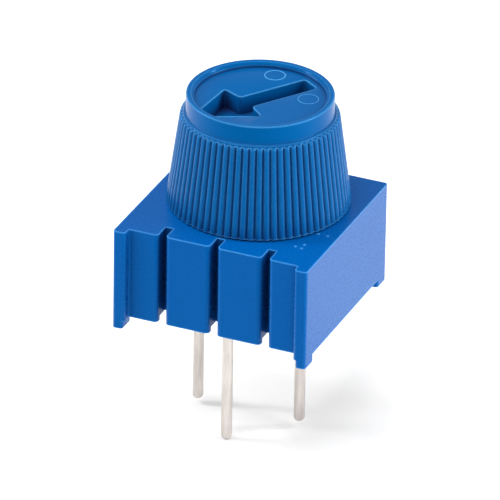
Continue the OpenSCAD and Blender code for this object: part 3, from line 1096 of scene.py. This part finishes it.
@dataclass
class Sealant:
    """The cast block that closes the housing's underside, drawn up a little round each lead.

    The sizes are in metres, and the frame's sealant gives its box.

    Attributes:
        leads: The frame's terminals that pass through it.
        gap: Distance from a lead to the collar of sealant round it.
        spread: Radius at which a collar runs out.
        climb: How far a collar creeps down its lead.
        edge_r: Radius of the block's lower edges.
        sides: Number of flats that the round is made of.
    """

    leads: tuple[str, ...]
    gap: float = 0.01 * MM
    spread: float = 0.6 * MM
    climb: float = 0.14 * MM
    edge_r: float = 0.12 * MM
    sides: int = 40

    def build(self) -> Object:
        """Models the sealant.

        Returns:
            The sealant's object.
        """
        bm = bmesh.new()
        low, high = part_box("sealant")
        block(bm, low, high)
        soften(bm, [e for e in bm.edges if all(v.co.z < low.z + SAME for v in e.verts)], self.edge_r, 4)
        hold_flat(bm, border=0.05 * MM)
        for lead in self.leads:
            start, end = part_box(lead)
            self._collar(bm, (start + end) / 2, low.z)
        return finished(bm, "sealant_block")

    def _collar(self, bm: BMesh, centre: Vector, level: float) -> None:
        """Adds the sealant that has crept along one lead.

        Args:
            bm: The sealant's mesh.
            centre: The lead's middle in plan.
            level: The height of the sealant's lower face.
        """
        start = Lead.radius + self.gap
        shares = [i / 7 for i in range(8)]
        run = self.spread - start
        profile = [(start + run * t * t, level - self.climb * (1 - t) ** 2) for t in shares]
        profile.append((self.spread, level + LAP / 2))
        directions = [math.tau * i / self.sides for i in range(self.sides)]
        rings = lathe(bm, directions, [(lambda a, r=r: r, z) for r, z in profile], centre)
        caps = [bm.faces.new(list(reversed(rings[0]))), bm.faces.new(rings[-1])]
        around = {f for ring in rings for v in ring for f in v.link_faces} | set(caps)
        bmesh.ops.recalc_face_normals(bm, faces=list(around))


# ----- The studio -----


@dataclass(frozen=True)
class Softbox:
    """One square soft light.

    Attributes:
        name: The light's name.
        place: Its position.
        size: The length of its side.
        power: Its power in watts.
    """

    name: str
    place: tuple[float, float, float]
    size: float
    power: float

    def build(self, target: Vector) -> None:
        """Adds the light.

        Args:
            target: The point that it faces.
        """
        data = bpy.data.lights.new(self.name, "AREA")
        data.shape = "RECTANGLE"
        data.size = data.size_y = self.size
        data.energy = self.power
        made = bpy.data.objects.new(self.name, data)
        made.location = self.place
        made.rotation_mode = "QUATERNION"
        made.rotation_quaternion = (target - made.location).to_track_quat("-Z", "Y")
        bpy.context.scene.collection.objects.link(made)


@dataclass
class Studio:
    """A pale floor, a bright surround, soft lights and a long lens.

    Attributes:
        azimuth: The camera's direction round the object, in degrees.
        elevation: Its height above the horizon, in degrees.
        roll: Its roll, in degrees.
        focus: The point that it stands round.
        distance: Its distance from that point.
        lens: Its focal length in millimetres, on a 36 mm sensor.
        aim: The point at the middle of the frame.
        floor_half: Half the floor's width.
        surround: The brightness of the surround.
        target: The point that the lights face.
        lights: The lights.
    """

    azimuth: float = 22.91
    elevation: float = 28.01
    roll: float = 0.97
    focus: Vector = field(default_factory=lambda: Vector((0, 0, 5)) * MM)
    distance: float = 387.5 * MM
    lens: float = 613.5
    aim: Vector = field(default_factory=lambda: Vector((0.3446, -0.8711, 3.2400)) * MM)
    floor_half: float = 1.5
    surround: float = 0.38
    target: Vector = field(default_factory=lambda: Vector((0, 0, 2)) * MM)
    lights: tuple[Softbox, ...] = (
        Softbox("key_softbox", (-0.07, -0.08, 0.32), 0.28, 1.08),
        Softbox("left_softbox", (-0.29, -0.08, 0.09), 0.14, 0.38),
        Softbox("back_glint", (0.200, 0.117, 0.194), 0.03, 0.2),
        Softbox("left_glint", (-0.225, -0.062, 0.194), 0.03, 0.2),
        Softbox("right_softbox", (0.30, 0.02, 0.07), 0.16, 0.85),
    )

    def _back(self) -> Vector:
        """The direction from the focus to the camera."""
        a, e = math.radians(self.azimuth), math.radians(self.elevation)
        return Vector((math.sin(a) * math.cos(e), -math.cos(a) * math.cos(e), math.sin(e)))

    def camera(self) -> None:
        """Places the camera."""
        data = bpy.data.cameras.new("camera")
        data.lens = self.lens
        data.sensor_width = 36.0
        data.clip_start, data.clip_end = 0.01, 10.0
        made = bpy.data.objects.new("camera", data)
        made.location = self.focus + self._back() * self.distance
        made.rotation_mode = "QUATERNION"
        level = (self.aim - made.location).to_track_quat("-Z", "Y")
        made.rotation_quaternion = level @ Euler((0, 0, math.radians(self.roll))).to_quaternion()
        bpy.context.scene.collection.objects.link(made)
        bpy.context.scene.camera = made

    def floor(self, level: float) -> None:
        """Lays the floor.

        Args:
            level: The height of the floor.
        """
        bm = bmesh.new()
        bmesh.ops.create_grid(bm, x_segments=1, y_segments=1, size=self.floor_half,
                              matrix=Matrix.Translation((0, 0, level)))
        made = finished(bm, "floor")
        dress(made, one_sided(PALE_PAPER.material()))

    def build(self) -> None:
        """Sets up the whole studio."""
        self.camera()
        self.floor(cad_low.z)
        world = bpy.data.worlds.new("surround")
        world.use_nodes = True
        sky = world.node_tree.nodes["Background"]
        sky.inputs["Color"].default_value = (1.0, 1.0, 1.0, 1)
        sky.inputs["Strength"].default_value = self.surround
        bpy.context.scene.world = world
        for light in self.lights:
            light.build(self.target)
        bpy.context.scene.view_settings.view_transform = "Standard"


# ----- Putting it together -----


def add(piece: Object, body: Body, node: str, finish: Material) -> None:
    """Dresses a new piece, stands it in for its node and lets it ride on its body.

    Args:
        piece: The new piece.
        body: The body that it moves with.
        node: The frame's node that it stands for.
        finish: Its material.
    """
    dress(piece, finish)
    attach(piece, body.value)
    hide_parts(node)
    log.info("%s stands for %s: %d faces", piece.name, node, len(piece.data.polygons))


def dress_nodes(finishes: dict[str, tuple[Finish, Sequence[str]]]) -> None:
    """Gives the frame's own nodes their materials.

    Args:
        finishes: For each material slot, its finish and the nodes that take it.
    """
    for slot, (finish, nodes) in finishes.items():
        material = finish.material()
        for node in nodes:
            dress(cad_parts[node], material)
            log.info("%s has the finish %s", node, finish.name)


def main() -> None:
    """Builds the trimmer, its finishes and the studio."""
    logging.basicConfig(level=logging.INFO, format="%(name)s: %(message)s")
    Studio().build()
    add(Housing().build(), Body.HOUSING, "housing", BLUE_PLASTIC.material())
    add(Knob().build(), Body.ROTOR, "knob", KNOB_PLASTIC.material())
    tinned = TINNED_LEAD.material()
    terminals = ("terminal_1", "terminal_2", "terminal_3")
    for node in terminals:
        add(Lead(node).build(), Body.HOUSING, node, tinned)
    add(Sealant(terminals).build(), Body.HOUSING, "sealant", EPOXY.material())
    dress_nodes({
        "solder": (SOLDER, ("solder_joint_1", "solder_joint_2", "solder_joint_3")),
        "ceramic": (CERAMIC, ("substrate",)),
        "resistive_film": (RESISTIVE_FILM, ("resistive_track",)),
        "conductor_film": (CONDUCTOR_FILM, ("end_pad_1", "end_pad_3", "collector")),
        "rotor_plastic": (ROTOR_PLASTIC, ("rotor",)),
        "seal_rubber": (SEAL_RUBBER, ("sealing_ring",)),
        "contact_metal": (CONTACT_METAL, ("wiper",)),
    })


if __name__ == "__main__":
    main()
